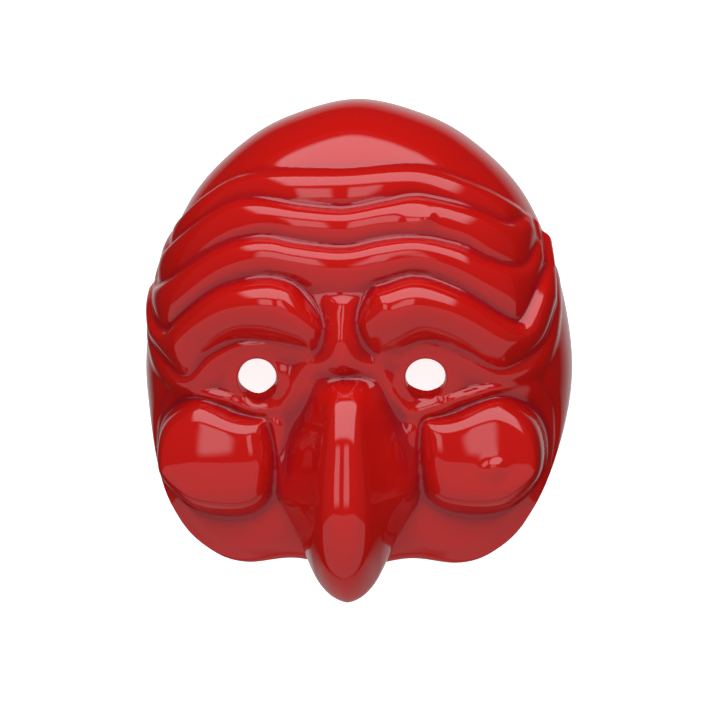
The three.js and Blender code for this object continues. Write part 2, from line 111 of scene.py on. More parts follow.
# An eye is the middle of its hole and its two radii. Its slant moves the hole's back, in X and Y.
LEFT_FACE = {
    "brow_top": {
        "through": [(-22.5, 25.9), (-32.8, 27.5), (-49.8, 23.7), (-66.5, 12.5), (-71.6, 7.9),
                    (-76.5, 9.3), (-80.3, 15)],
        "to": (160, 0.98),
    },
    "brow_end": [(-13.4, -0.9), (-10.1, 4.5), (-10.3, 11.5), (-17.7, 22)],
    "brow_foot": {
        "through": [(-13.4, -0.9), (-19, 1.2), (-37.8, 3.6), (-46, 2.3), (-55.7, -2.8),
                    (-65.5, -10.4), (-80.5, 4)],
        "to": (167, 0.96),
    },
    "lid": {
        "through": [(-14.6, -3.2), (-22.1, -0.9), (-33.1, 0.3), (-47.9, -4.8), (-59.2, -15.4),
                    (-69, -17.3), (-79, -8.8), (-82.6, 0)],
        "to": (172, 0.95),
    },
    "lash": [(-20.9, -14.2), (-27.5, -19.7), (-36.7, -21.3), (-48.8, -17), (-57.1, -15.8)],
    "bag": [(-13.4, -0.9), (-17.2, -7.9), (-21.5, -18.1), (-27, -24.3), (-34.9, -26.8),
            (-51, -21.2), (-62, -18.1), (-74.2, -16.6)],
    "temple": {"through": [(-74.2, -16.6), (-79.5, -28), (-80.3, -40)], "to": (213, 0.93)},
    "cheek": [(-33, -27), (-43, -25.6), (-60, -19.6), (-73.5, -26.5), (-77.3, -38), (-74.5, -51.5),
              (-61, -62.5), (-42, -64.3), (-31.5, -57.5), (-29.5, -41), (-33, -27)],
    "cheek_middle": (-44, -42),
    "fold": [[(-29, -23.5), (-32.3, -26), (-30.8, -32), (-28.3, -42), (-26.5, -56)],
             [(-29, -23.5), (-25, -25.5), (-25, -32), (-25.4, -42), (-26.5, -56)]],
    "eye": (-35.3, -11.6, 7.9, 8.1),
    "eye_slant": (-1.0, 0.6),
    "band": [(-63, -63), (-52, -73), (-40, -76), (-29, -72)],
}
RIGHT_FACE = {
    "brow_top": {
        "through": [(15.4, 24.7), (28, 27.8), (44.2, 22.4), (63.2, 11.2), (68.5, 13.6), (76, 34)],
        "to": (33.5, 0.9),
    },
    "brow_end": [(12.4, -1.7), (7.2, 4.5), (5.7, 12), (10.4, 22.3)],
    "brow_foot": {
        "through": [(12.4, -1.7), (20.9, -0.1), (32, 3.1), (44, -0.9), (54.3, -6.3), (62, -7.2),
                    (75, 2.5), (80, 17.8)],
        "to": (27, 0.93),
    },
    "lid": {
        "through": [(13.1, -4.8), (20.9, -2.4), (32, -0.2), (44, -5.2), (56, -12), (67, -13.2),
                    (77, -8), (81.3, 3.9)],
        "to": (17, 0.94),
    },
    "lash": [(17.5, -14.1), (22.5, -18.9), (31, -20.5), (41.8, -17.5), (53.4, -14.2)],
    "bag": [(12.4, -1.7), (13.7, -8.7), (17.8, -18.4), (23, -23.8), (32, -27.2), (49.4, -20),
            (62, -16), (75.6, -12.5)],
    "temple": {"through": [(75.6, -12.5), (80, -22), (80.5, -34)], "to": (-29, 0.93)},
    "cheek": [(29, -27), (39.7, -25.6), (58, -18.8), (72, -25), (76.6, -38), (73.5, -52),
              (60, -62.2), (43, -63), (31.5, -57.5), (28.3, -42), (29, -27)],
    "cheek_middle": (48.6, -42),
    "fold": [[(24, -23.5), (27.8, -26), (27.8, -32), (28, -42), (29.8, -56)],
             [(24, -23.5), (20.2, -25.5), (22.3, -32), (25.3, -42), (29.8, -56)]],
    "eye": (30.8, -11, 7.9, 7.5),
    "eye_slant": (0.3, 0.2),
    "band": [(62, -63), (51, -73), (39, -76), (29, -73)],
}
FACES = [LEFT_FACE, RIGHT_FACE]

# Rolls of skin between two lines: the height, the width at which they are this high, and the share
# of the way down from the upper line at which they stand highest
FOREHEAD_ROLLS = [(3.8, 14.0, 0.26), (4.8, 15.0, 0.3), (5.2, 16.0, 0.32)]
BROW = (11.0, 26.0, 0.4)
LID = (2.0, 5.0, 0.4)
BAG = (2.2, 6.0, 0.4)
# The fold between the nose and a cheek
FOLD = (2.6, 8.0, 0.5)
# How the section falls to the lower line: 2 is a parabola
ROLL_FALL = 2.0
# A wider roll is higher by this power of its width, up to this many times the width stated
ROLL_WIDEN = 0.6
ROLL_LIMIT = 1.2
# The roll under an eye begins at this point of the bag's line
BAG_START = 2
# The socket round the eye, and the ball of the eye in it
SOCKET_DEPTH = 2.4
SOCKET_SLOPE = 5.0
EYEBALL = {"height": 2.6, "size": (13.0, 9.5), "power": 2.0}
# A cheek rises over its edge to a dome: how high it stands, its least height over the face, and the
# radii of its curves across the face and along it
CHEEK_TOP = 54.0
CHEEK_EDGE = 5.0
CHEEK_ROLL = 9.0
CHEEK_POWER = 2.2
CHEEK_RADII = (89.0, 60.0)
CHEEK_BLEND = 4.0
# Creases and ridges along a line: the height and the half width
TEMPLE = (-1.4, 2.2)
BAND = (1.3, 8.0)
# The crease across the root of the nose
ROOT = (-0.9, 1.1)
ROOT_LINE = [(-12.5, -11), (-7, -9.4), (-0.7, -8.9), (5, -9.4), (9.8, -11)]
# Lumps on the bridge and the forehead, and the warts: where, how high, how wide to each side and
# how square in the shoulders
LUMPS = [
    {"at": (-1.5, 1), "height": 6.0, "size": (6.8, 9.0), "power": 1.3},
    {"at": (-1.5, 13.5), "height": 2.6, "size": (5.6, 8.0), "power": 1.3},
    {"at": (-0.6, 17.5), "height": 0.8, "size": (1.6, 1.6), "power": 1.0},
    {"at": (-6.5, 19.5), "height": 0.7, "size": (2.5, 1.8), "power": 1.0},
    {"at": (4.5, 19), "height": 0.7, "size": (2.5, 1.8), "power": 1.0},
    {"at": (-1, -6.5), "height": 1.9, "size": (13.0, 4.2), "power": 1.0},
    {"at": (27, 48.3), "height": 1.3, "size": (6.0, 4.2), "power": 1.5},
    {"at": (31.5, 50.5), "height": 1.6, "size": (2.3, 2.3), "power": 1.5},
    {"at": (58, -46.4), "height": 1.6, "size": (4.6, 4.6), "power": 1.5},
    {"at": (57.5, -45.4), "height": 0.9, "size": (2.2, 2.0), "power": 1.5},
]

# The nose outside and its hollow, each in section: from the crease under the brows over the ridge
# and the tip, and back to the lip. The wings end higher up the face than the middle of the nose.
NOSE = {
    "section": [(-9.5, 54.5), (-20, 67.5), (-31, 73.8), (-45, 77), (-68, 78.2), (-87, 71.5),
                (-98.4, 55), (-97, 47), (-91, 43), (-78, 43)],
    "top": -9.5, "foot": -78.0, "wing_foot": -62.0, "narrower": 0.0, "deeper": 0.0,
}
NOSE_HOLLOW = {
    "section": [(-14, 48.5), (-23, 61.5), (-33, 68.5), (-46, 72), (-66, 73.2), (-82, 67.5),
                (-91.5, 58), (-87, 52), (-77, 48.5), (-72.5, 43.5), (-73, 38.5)],
    "top": -14.0, "foot": -73.0, "wing_foot": -54.0, "narrower": 5.0, "deeper": 4.2,
}
NOSE_STEPS = 32
NOSE_X = 0.4
# Its half width at shares of the way from top to foot
NOSE_HALF_WIDTH = [(0, 11), (0.05, 12.5), (0.1, 14.5), (0.2, 18.5), (0.35, 23.5), (0.6, 28.5),
                   (0.8, 31), (1, 31)]
# Its section across: the share of its height that is left at shares of the half width
NOSE_ACROSS = [(0, 1), (0.14, 0.985), (0.28, 0.93), (0.4, 0.81), (0.49, 0.66), (0.6, 0.5),
               (0.8, 0.24), (0.92, 0.07), (1, 0)]
# The tip leans to one side, from one share of the way to another
TIP_LEAN = -1.0
TIP_LEAN_FROM = 0.5
TIP_LEAN_TO = 0.8
# How much of the overhang is left at this distance from the middle line
OVERHANG = [(0, 1), (6, 0.965), (11, 0.875), (14.5, 0.74), (20, 0.47), (25, 0.31), (30, 0)]
# The foot rises towards the wings by this power of the distance, up to a little past the wing
WING_X = 25.0
WING_POWER = 1.6
WING_REACH = 1.1
# The nose grows out of the face over this share of the way at each end
NOSE_BLEND = 0.03

# The inside follows the furrows only faintly, and the cheeks with softer flanks
INSIDE_FOLLOWS = 0.3
CHEEK_HOLLOW_DEPTH = 14.0
CHEEK_HOLLOW_FLANK = 20.0

# Cells of the outside's grid, a little closer in the middle. The inside takes every second one.
COLUMNS = 248
ROWS = 280
COLUMN_SPREAD = 1.08
# Straight steps between two points of a line
LINE_STEPS = 8
# The back of an eye hole is moved within this distance of its middle
SLANT_FROM = 9.0
SLANT_TO = 22.0
# Half the cells across an eye hole, and the cells beyond it that bend to its outline
EYE_CELLS = 8
EYE_BEND = 14
LIP_ARC_STEPS = 3

# The glaze: how mirror bright it is, and the ripple that it sets with
GLAZE_IOR = 1.5
GLAZE_ROUGHNESS = 0.05
RIPPLE_SCALE = 90
RIPPLE_DETAIL = 1
RIPPLE_HEIGHT = 0.06
# The crease depths between which the colour darkens: painted shade in the creases
CREASE_SHADE_FROM = 0.02
CREASE_SHADE_TO = 1.0
GLAZE_INPUTS = {
    "Geometry": "NodeSocketGeometry",
    "Levelling": "NodeSocketInt",
    "Crease shade reach": "NodeSocketInt",
    "Material": "NodeSocketMaterial",
}

# The studio, in metres. A light fades towards its edges over the soft share of its size.
SOFTBOX_COLOUR = (1.0, 0.93, 0.98)
SOFTBOX_AIM = (0, 0, 0.05)
SOFTBOXES = {
    "left_softbox": {
        "place": (-0.375, 0.17, 0.97), "size": (0.38, 0.55), "radiance": 2.35, "soft": 0.22},
    "right_softbox": {
        "place": (0.12, 0.17, 0.97), "size": (0.33, 0.55), "radiance": 2.25, "soft": 0.22},
    "top_softbox": {
        "place": (0.05, 0.92, 0.65), "size": (2.0, 1.2), "radiance": 3.3, "soft": 0.12},
    "table_bounce": {
        "place": (0, -0.4, 1.6), "faces": (0, 0, 1.6), "size": (4.0, 3.2), "radiance": 0.64,
        "soft": 0.03},
    "front_fill": {
        "place": (0, -1.0, 0.7), "size": (1.2, 0.8), "radiance": 0.8, "mirrored": False},
}
WORLD_STRENGTH = 0.1
FLOOR_REACH = 3.0
FLOOR_ROUGHNESS = 0.9
FLOOR_LIFT = 0.85
# Where the glaze sees the floor bright: ovals round the mask and in front of its nose, in
# millimetres. The glow begins and ends to fade at these shares of the radii.
FLOOR_GLOWS = [
    {"middle": (0, 0), "radii": (86, 100), "full": 1.05, "end": 1.22, "strength": 0.6},
    {"middle": (0, -400), "radii": (250, 325), "full": 0.9, "end": 1.02, "strength": 0.45},
]
FLOOR_GLOW_LEAST = 0.03
# The camera aims at this place of the face. The picture's pixels are this wide at the rim, in
# millimetres.
CAMERA_AIM = (0.4, -4.0)
SENSOR_WIDTH = 36
PICTURE_PIXELS = 720
PIXEL = 0.404


def smooth_step(start, end, value):
    share = np.clip((value - start) / (end - start), 0, 1)
    return share * share * (3 - 2 * share)


def smooth_line(points, steps=LINE_STEPS):
    """Points along a Catmull-Rom curve through the given ones."""
    known = np.asarray(points, float)
    ends = np.vstack([known[:1], known, known[-1:]])
    share = np.linspace(0, 1, steps, endpoint=False)[:, None]
    pieces = []
    for before, start, end, after in zip(ends, ends[1:], ends[2:], ends[3:]):
        first = (end - before) / 2
        last = (after - start) / 2
        square = 3 * (end - start) - 2 * first - last
        cube = 2 * (start - end) + first + last
        pieces.append(start + first * share + square * share**2 + cube * share**3)
    return np.vstack(pieces + [known[-1:]])


def make_rim_table():
    """The rim's radius for each direction, with a full turn to spare at each end."""
    ring = [(-x, y) for x, y in RIM[-2:0:-1]] + RIM
    points = smooth_line(ring[-2:] + ring + ring[:3])
    turn = slice(2 * LINE_STEPS, (2 + len(ring)) * LINE_STEPS)
    direction = np.arctan2(points[turn, 1], points[turn, 0])
    radius = np.hypot(points[turn, 0], points[turn, 1])
    order = np.argsort(direction)
    full_turn = 2 * np.pi
    turns = (-full_turn, 0, full_turn)
    directions = np.concatenate([direction[order] + start for start in turns])
    return directions, np.tile(radius[order], len(turns))


def make_turn_table():
    """How far out from the middle against how far along the surface: both in radii of the rim."""
    angle = np.linspace(0, np.pi / 2, TURN_STEPS)
    out = np.sin(angle) ** (2 / EDGE_POWER)
    height = TURN_HEIGHT * np.cos(angle) / TURN_RADIUS
    along = np.concatenate([[0], np.cumsum(np.hypot(np.diff(out), np.diff(height)))])
    return out, along


RIM_DIRECTIONS, RIM_RADII = make_rim_table()
TURN_OUT, TURN_ALONG = make_turn_table()
REACH = TURN_ALONG[-1]


def rim_radius(direction):
    return np.interp(direction, RIM_DIRECTIONS, RIM_RADII)


def lay_flat(points):
    """Turns places seen from the front into places on the face laid flat."""
    place = np.atleast_2d(np.asarray(points, float))
    distance = np.hypot(place[:, 0], place[:, 1])
    radius = rim_radius(np.arctan2(place[:, 1], place[:, 0]))
    along = np.interp(np.clip(distance / radius, 0, 1), TURN_OUT, TURN_ALONG) * radius
    return place * (along / np.maximum(distance, TINY))[:, None]


def on_wall(end):
    """A place on the side wall, from its direction and its share of the way to the rim."""
    degrees, share = end
    direction = math.radians(degrees)
    along = float(rim_radius(direction)) * REACH * share
    return np.array([[math.cos(direction) * along, math.sin(direction) * along]])


def flat_line(line):
    """Lays a line flat: a list of points, or a dictionary with ends on the side wall."""
    if not isinstance(line, dict):
        return lay_flat(smooth_line(line))
    parts = [on_wall(line["from"])] if "from" in line else []
    parts.append(lay_flat(smooth_line(line["through"])))
    parts += [on_wall(line["to"])] if "to" in line else []
    return np.vstack(parts)


def distance_to(place, line):
    """Shortest distance from each place to a line of points."""
    start = line[:-1]
    run = line[1:] - start
    length2 = np.maximum((run**2).sum(1), TINY)
    nearest = np.full(len(place), np.inf)
    for corner, way, square in zip(start, run, length2):
        across = place - corner
        share = np.clip(across @ way / square, 0, 1)
        apart = across - share[:, None] * way
        np.minimum(nearest, (apart**2).sum(1), out=nearest)
    return np.sqrt(nearest)


def is_inside(place, outline):
    """Which places lie inside a closed outline."""
    u, v = place[:, 0], place[:, 1]
    inside = np.zeros(len(place), bool)
    for (x0, y0), (x1, y1) in zip(outline, np.roll(outline, -1, axis=0)):
        if y0 != y1:
            crossing = x0 + (x1 - x0) * (v - y0) / (y1 - y0)
            inside ^= ((y0 > v) != (y1 > v)) & (u < crossing)
    return inside


def lump(place, at, height, size, power):
    """A round rise about one place."""
    middle = lay_flat(at)[0]
    away = ((place - middle) / size) ** 2
    return height * np.exp(-away.sum(1) ** power)


def crease(place, line, cut):
    """A crease or a ridge along a line."""
    height, width = cut
    return height * np.exp(-(distance_to(place, line) / width) ** 2)


def roll(place, upper, lower, size):
    """A roll of skin between two lines, round in section and lower where they close in."""
    height, width, crest = size
    inside = is_inside(place, np.vstack([upper, lower[::-1]]))
    down = distance_to(place[inside], upper)
    across = down + distance_to(place[inside], lower)
    share = down / np.maximum(across, TINY)
    before = np.clip(1 - share / crest, 0, 1)
    after = np.clip((share - crest) / (1 - crest), 0, 1)
    section = np.sqrt(1 - before**2) * (1 - after**ROLL_FALL)
    heights = np.zeros(len(place))
    heights[inside] = height * np.minimum(across / width, ROLL_LIMIT) ** ROLL_WIDEN * section
    return heights


def add_cheeks(points, place):
    """Raises the two balls of the cheeks out of the face."""
    out = points.copy()
    for face in FACES:
        outline = flat_line(face["cheek"])
        inside = is_inside(place, outline)
        inward = np.minimum(distance_to(place[inside], outline) / CHEEK_ROLL, 1)
        share = np.sqrt(1 - (1 - inward) ** CHEEK_POWER)
        away = (out[inside, :2] - face["cheek_middle"]) ** 2 / CHEEK_RADII
        dome = CHEEK_TOP - away.sum(1) / 2 - out[inside, 2]
        height = (dome + CHEEK_EDGE + np.hypot(dome - CHEEK_EDGE, CHEEK_BLEND)) / 2
        out[inside, 2] += share * height
    return out


def socket(place, face):
    """The hollow round an eye, with the eye's ball in it."""
    lid = flat_line(face["lid"])
    bag = flat_line(face["bag"])
    inside = is_inside(place, np.vstack([lid, bag[::-1]]))
    inward = np.minimum(distance_to(place[inside], lid), distance_to(place[inside], bag))
    heights = np.zeros(len(place))
    heights[inside] = -SOCKET_DEPTH * smooth_step(0, SOCKET_SLOPE, inward)
    heights[inside] += lump(place[inside], face["eye"][:2], **EYEBALL)
    return heights


def forehead_rolls(place):
    left = LEFT_FACE["brow_top"]
    right = RIGHT_FACE["brow_top"]
    lower_furrow = {
        "from": left["to"],
        "through": left["through"][::-1] + BRIDGE + right["through"],
        "to": right["to"],
    }
    lines = [flat_line(line) for line in (HAIRLINE, UPPER_FURROW, MIDDLE_FURROW, lower_furrow)]
    between = zip(lines, lines[1:], FOREHEAD_ROLLS)
    return [roll(place, upper, lower, size) for upper, lower, size in between]


def face_rolls(place, face):
    top = face["brow_top"]
    brow_top = flat_line({"through": face["brow_end"] + top["through"], "to": top["to"]})
    brow_foot = flat_line(face["brow_foot"])
    under_eye = flat_line(face["bag"])[BAG_START * LINE_STEPS:]
    towards_cheek, towards_nose = face["fold"]
    return [
        roll(place, brow_top, brow_foot, BROW),
        roll(place, brow_foot, flat_line(face["lid"]), LID),
        roll(place, flat_line(face["lash"]), under_eye, BAG),
        roll(place, flat_line(towards_cheek), flat_line(towards_nose), FOLD),
    ]


def outside_carving(place):
    """Height of all carving over the plain face with its nose."""
    rolls = forehead_rolls(place)
    sockets = np.zeros(len(place))
    added = np.zeros(len(place))
    for face in FACES:
        rolls += face_rolls(place, face)
        sockets += socket(place, face)
        added += crease(place, flat_line(face["temple"]), TEMPLE)
        added += crease(place, flat_line(face["band"]), BAND)
    added += crease(place, flat_line(ROOT_LINE), ROOT)
    for item in LUMPS:
        added += lump(place, **item)
    top = np.max(rolls, axis=0)
    return np.where(top > 0, top, sockets) + added


def inside_carving(place):
    """How far the inside stands out over a plain wall: faint rolls, and the cheeks' hollows."""
    rolls = forehead_rolls(place)
    hollows = np.zeros(len(place))
    for face in FACES:
        rolls += face_rolls(place, face)
        outline = flat_line(face["cheek"])
        inside = is_inside(place, outline)
        inward = distance_to(place[inside], outline)
        hollows[inside] += CHEEK_HOLLOW_DEPTH * smooth_step(0, CHEEK_HOLLOW_FLANK, inward)
    return INSIDE_FOLLOWS * np.max(rolls, axis=0) + hollows


def add_nose(points, nose):
    """Draws a nose out of a face: each place under it slides along the section's curve."""
    x = points[..., 0] - NOSE_X
    wing = np.minimum(np.abs(x) / WING_X, WING_REACH) ** WING_POWER
    foot = nose["foot"] + (nose["wing_foot"] - nose["foot"]) * wing
    share = np.clip((nose["top"] - points[..., 1]) / (nose["top"] - foot), 0, 1)
    section = smooth_line(nose["section"], NOSE_STEPS)
    length = np.concatenate([[0], np.cumsum(np.hypot(*np.diff(section, axis=0).T))])
    section_y = np.interp(share, length / length[-1], section[:, 0])
    section_z = np.interp(share, length / length[-1], section[:, 1])
    plain_y = nose["top"] + (nose["foot"] - nose["top"]) * share
    plain_z = crown_height(plain_y) - nose["deeper"]
    widths = np.asarray(NOSE_HALF_WIDTH, float)
    half_width = np.interp(share, widths[:, 0], widths[:, 1]) - nose["narrower"]
    blend = smooth_step(0, NOSE_BLEND, share) * smooth_step(1, 1 - NOSE_BLEND, share)
    side = np.abs(x - TIP_LEAN * smooth_step(TIP_LEAN_FROM, TIP_LEAN_TO, share))
    across = smooth_line(NOSE_ACROSS)
    rise = blend * np.interp(side / half_width, across[:, 0], across[:, 1])
    reach = smooth_line(OVERHANG)
    apart = side * (1 + nose["narrower"] / WING_X)
    slide = np.where(section_y < plain_y, blend * np.interp(apart, reach[:, 0], reach[:, 1]), rise)
    out = points.copy()
    out[..., 1] += slide * (section_y - plain_y)
    out[..., 2] += rise * (section_z - plain_z)
    return out


def crown_height(y):
    """How far the plain face stands out along its middle line."""
    line = smooth_line(CROWN)
    return np.interp(y, line[:, 0], line[:, 1])


def rim_height(direction):
    """How far the rim stands off the table, which it does under the cheeks and the nose."""
    return LIP_RISE * smooth_step(LIP_FROM, LIP_TO, rim_radius(direction) * np.sin(direction))


def plain_face(flat):
    """The face without its nose or carving, for a grid of flat places."""
    direction = np.arctan2(flat[..., 1], flat[..., 0])
    radius = rim_radius(direction)
    along = np.minimum(np.hypot(flat[..., 0], flat[..., 1]) / radius, REACH)
    out = np.interp(along, TURN_ALONG, TURN_OUT)
    x = out * radius * np.cos(direction)
    y = out * radius * np.sin(direction)
    rim = rim_height(direction)
    crown = crown_height(y) - SIDE_DROP * (x / HALF_WIDTH) ** 2
    z = rim + (crown - rim) * np.sqrt(np.clip(1 - out**EDGE_POWER, 0, 1))
    return np.stack([x, y, z], -1)


def unit(vectors):
    return vectors / np.maximum(np.linalg.norm(vectors, axis=-1, keepdims=True), TINY)


def face_normals(flat, build):
    """Which way the face points at flat places, from its slope a little to each side."""
    step = SLOPE_STEP
    radius = rim_radius(np.arctan2(flat[..., 1], flat[..., 0])) * REACH * SLOPE_LIMIT
    distance = np.hypot(flat[..., 0], flat[..., 1])
    middle = flat * (np.minimum(distance, radius) / np.maximum(distance, TINY))[..., None]
    along_x = build(middle + (step, 0)) - build(middle - (step, 0))
    along_y = build(middle + (0, step)) - build(middle - (0, step))
    return unit(np.cross(along_x, along_y))


def flat_grid(lip_round):
    """A grid of flat places that fills the face up to the rounding of its rim."""
    across, up = np.meshgrid(np.linspace(-1, 1, COLUMNS + 1), np.linspace(-1, 1, ROWS + 1))
    across = np.sign(across) * np.abs(across) ** COLUMN_SPREAD
    disc = np.stack([across * np.sqrt(1 - up**2 / 2), up * np.sqrt(1 - across**2 / 2)], -1)
    direction = np.arctan2(disc[..., 1], disc[..., 0])
    radius = rim_radius(direction)
    x, y = radius * np.cos(direction), radius * np.sin(direction)
    wall_height = crown_height(y) - SIDE_DROP * (x / HALF_WIDTH) ** 2 - rim_height(direction)
    border = (1 - (lip_round / wall_height) ** 2) ** (1 / EDGE_POWER)
    reach = radius * np.interp(border, TURN_OUT, TURN_ALONG)
    share = np.clip(np.hypot(disc[..., 0], disc[..., 1]), 0, 1) * reach
    return np.stack([share * np.cos(direction), share * np.sin(direction)], -1)


def bend_to_eyes(flat, lip_round):
    """Moves the grid so that a square block of cells round each eye fills the oval of its hole."""
    bent = flat.copy()
    blocks = []
    for face in FACES:
        eye_x, eye_y, half_x, half_y = face["eye"]
        away = ((flat - (eye_x, eye_y)) ** 2).sum(-1)
        row, column = np.unravel_index(away.argmin(), away.shape)
        row += row % 2
        column += column % 2
        rows, columns = np.mgrid[0:flat.shape[0], 0:flat.shape[1]]
        down, along = rows - row, columns - column
        ring = np.maximum(abs(down), abs(along))
        turn = np.arctan2(down, along)
        cell_x = flat[row, column + 1, 0] - flat[row, column, 0]
        cell_y = flat[row + 1, column, 1] - flat[row, column, 1]
        inner = np.minimum(ring, EYE_CELLS) / EYE_CELLS
        beyond = np.maximum(ring - EYE_CELLS, 0)
        oval_x = eye_x + np.cos(turn) * ((half_x + lip_round) * inner + beyond * cell_x)
        oval_y = eye_y + np.sin(turn) * ((half_y + lip_round) * inner + beyond * cell_y)
        weight = smooth_step(EYE_CELLS + EYE_BEND, EYE_CELLS + 1, ring)[..., None]
        bent += weight * (np.stack([oval_x, oval_y], -1) - bent)
        blocks.append((row, column))
    return bent, blocks


def rim_loop(rows, columns):
    """Grid places round the border, anticlockwise from the lower left corner."""
    bottom = [(0, c) for c in range(columns)]
    right = [(r, columns) for r in range(rows)]
    top = [(rows, c) for c in range(columns, 0, -1)]
    left = [(r, 0) for r in range(rows, 0, -1)]
    return np.array(bottom + right + top + left)


def eye_loop(block, cells):
    """Grid places round the block of an eye hole, clockwise."""
    row, column = block
    return rim_loop(2 * cells, 2 * cells)[::-1] + (row - cells, column - cells)


class Shell:
    """Collects the points and faces of the mask, in millimetres."""

    def __init__(self):
        self.points = []
        self.settles = []
        self.faces = []
        self.count = 0

    def add(self, points, settles):
        """Adds points and returns their numbers. The glaze levels out only those that settle."""
        flat = np.asarray(points).reshape(-1, 3)
        self.points.append(flat)
        self.settles.append(np.full(len(flat), float(settles)))
        numbers = np.arange(self.count, self.count + len(flat)).reshape(np.shape(points)[:-1])
        self.count += len(flat)
        return numbers

    def add_sheet(self, numbers, blocks, cells, turned):
        """Adds the faces of a grid, less a square block of cells for each eye hole."""
        keep = np.ones(np.subtract(numbers.shape, 1), bool)
        for row, column in blocks:
            keep[row - cells:row + cells, column - cells:column + cells] = False
        corners = [numbers[:-1, :-1], numbers[:-1, 1:], numbers[1:, 1:], numbers[1:, :-1]]
        quads = np.stack(corners[::-1] if turned else corners, -1)[keep]
        self.faces += quads.tolist()

    def add_band(self, first, second):
        """Joins two loops of equal length."""
        for k in range(len(first)):
            after = (k + 1) % len(first)
            self.faces.append([first[after], first[k], second[k], second[after]])

    def add_reducing_band(self, fine, coarse):
        """Joins a loop to one with half as many points."""
        for k in range(len(coarse)):
            after = (k + 1) % len(coarse)
            middle = fine[2 * k + 1]
            end = fine[(2 * k + 2) % len(fine)]
            self.faces.append([middle, fine[2 * k], coarse[k]])
            self.faces.append([end, middle, coarse[after]])
            self.faces.append([middle, coarse[k], coarse[after]])

    def add_lip(self, outer, inner, outer_points, inner_points, towards_edge):
        """Rounds the edge of the wall, from a loop of the outside to the inside's, half as fine."""
        between = np.empty_like(outer_points)
        between[::2] = inner_points
        between[1::2] = (inner_points + np.roll(inner_points, -1, axis=0)) / 2
        through = between - outer_points
        edge_way = unit(towards_edge)
        through -= (through * edge_way).sum(1, keepdims=True) * edge_way
        through = unit(through)
        size = np.linalg.norm(towards_edge, axis=1, keepdims=True)
        turns = np.linspace(0, np.pi / 2, LIP_ARC_STEPS + 1)[1:]
        last = outer
        for turn in turns:
            bulge = (1 - np.cos(turn)) * size * through
            numbers = self.add(outer_points + np.sin(turn) * towards_edge + bulge, False)
            self.add_band(last, numbers)
            last = numbers
        join = self.add_reducing_band
        for turn in turns[::-1]:
            bulge = (1 - np.cos(turn)) * size * through
            numbers = self.add(inner_points + (np.sin(turn) * towards_edge - bulge)[::2], False)
            join(last, numbers)
            join = self.add_band
            last = numbers
        self.add_band(last, inner)


def take(grid, places):
    """What a grid holds at a list of rows and columns."""
    return grid[places[:, 0], places[:, 1]]


def sculpt_surfaces(flat, wall):
    """The outside of the mask for a grid of flat places, and its inside for every second one."""
    to_rim = np.hypot(flat[..., 0], flat[..., 1])
    to_rim /= rim_radius(np.arctan2(flat[..., 1], flat[..., 0])) * REACH
    fade = smooth_step(1, RIM_FADE, to_rim)[..., None]

    cheeks = add_cheeks(plain_face(flat).reshape(-1, 3), flat.reshape(-1, 2))
    face = add_nose(cheeks.reshape(*flat.shape[:2], 3), NOSE)
    lift = face_normals(flat, lambda place: add_nose(plain_face(place), NOSE))
    carving = outside_carving(flat.reshape(-1, 2)).reshape(flat.shape[:2])[..., None]
    outer = face + lift * (WALL_CARVING, WALL_CARVING, 1) * carving * fade

    coarse = flat[::2, ::2]
    carving = inside_carving(coarse.reshape(-1, 2)).reshape(coarse.shape[:2])[..., None]
    inward = face_normals(coarse, plain_face) * (wall - carving * fade[::2, ::2])
    inner = add_nose(plain_face(coarse) - inward, NOSE_HOLLOW)
    for side in FACES:
        away = np.linalg.norm(inner[..., :2] - side["eye"][:2], axis=-1)
        inner[..., :2] += smooth_step(SLANT_TO, SLANT_FROM, away)[..., None] * side["eye_slant"]
    return outer, inner


def sculpt_shell(wall, rim_round, eye_round):
    """Both surfaces of the mask, with rounded lips at its rim and round its eye holes."""
    flat, blocks = bend_to_eyes(flat_grid(rim_round), eye_round)
    outer, inner = sculpt_surfaces(flat, wall)

    rim = rim_loop(ROWS, COLUMNS)
    inner_rim = rim_loop(ROWS // 2, COLUMNS // 2)
    rim_flat = take(flat, rim)
    rim_points = take(outer, rim)
    down = np.zeros_like(rim_points)
    down[:, 2] = rim_height(np.arctan2(rim_flat[:, 1], rim_flat[:, 0])) - rim_points[:, 2]
    inner[inner_rim[:, 0], inner_rim[:, 1], 2] = rim_points[::2, 2]

    shell = Shell()
    outer_numbers = shell.add(outer, True)
    inner_numbers = shell.add(inner, True)
    inner_blocks = [(row // 2, column // 2) for row, column in blocks]
    shell.add_sheet(outer_numbers, blocks, EYE_CELLS, False)
    shell.add_sheet(inner_numbers, inner_blocks, EYE_CELLS // 2, True)
    lips = [(rim, inner_rim, down)]
    for block, inner_block in zip(blocks, inner_blocks):
        loop = eye_loop(block, EYE_CELLS)
        to_middle = take(outer, loop).mean(0) - take(outer, loop)
        to_middle[:, 2] = 0
        lips.append((loop, eye_loop(inner_block, EYE_CELLS // 2), unit(to_middle) * eye_round))
    for loop, inner_loop, towards_edge in lips:
        shell.add_lip(take(outer_numbers, loop), take(inner_numbers, inner_loop),
                      take(outer, loop), take(inner, inner_loop), towards_edge)
    return shell


def shell_mesh(shell):
    points = (np.vstack(shell.points) - (*MIDDLE, 0)) * MM
    mesh = bpy.data.meshes.new("mask")
    mesh.from_pydata(points.tolist(), [], shell.faces)
    settles = mesh.attributes.new("settles", "FLOAT", "POINT")
    settles.data.foreach_set("value", np.concatenate(shell.settles))
    mesh.validate()
    mesh.update()
    return mesh


def connect(tree, node, inputs):
    """Gives each of a node's inputs a value, or a link from another node's socket."""
    for name, value in inputs.items():
        if isinstance(value, bpy.types.NodeSocket):
            tree.links.new(value, node.inputs[name])
        else:
            node.inputs[name].default_value = value


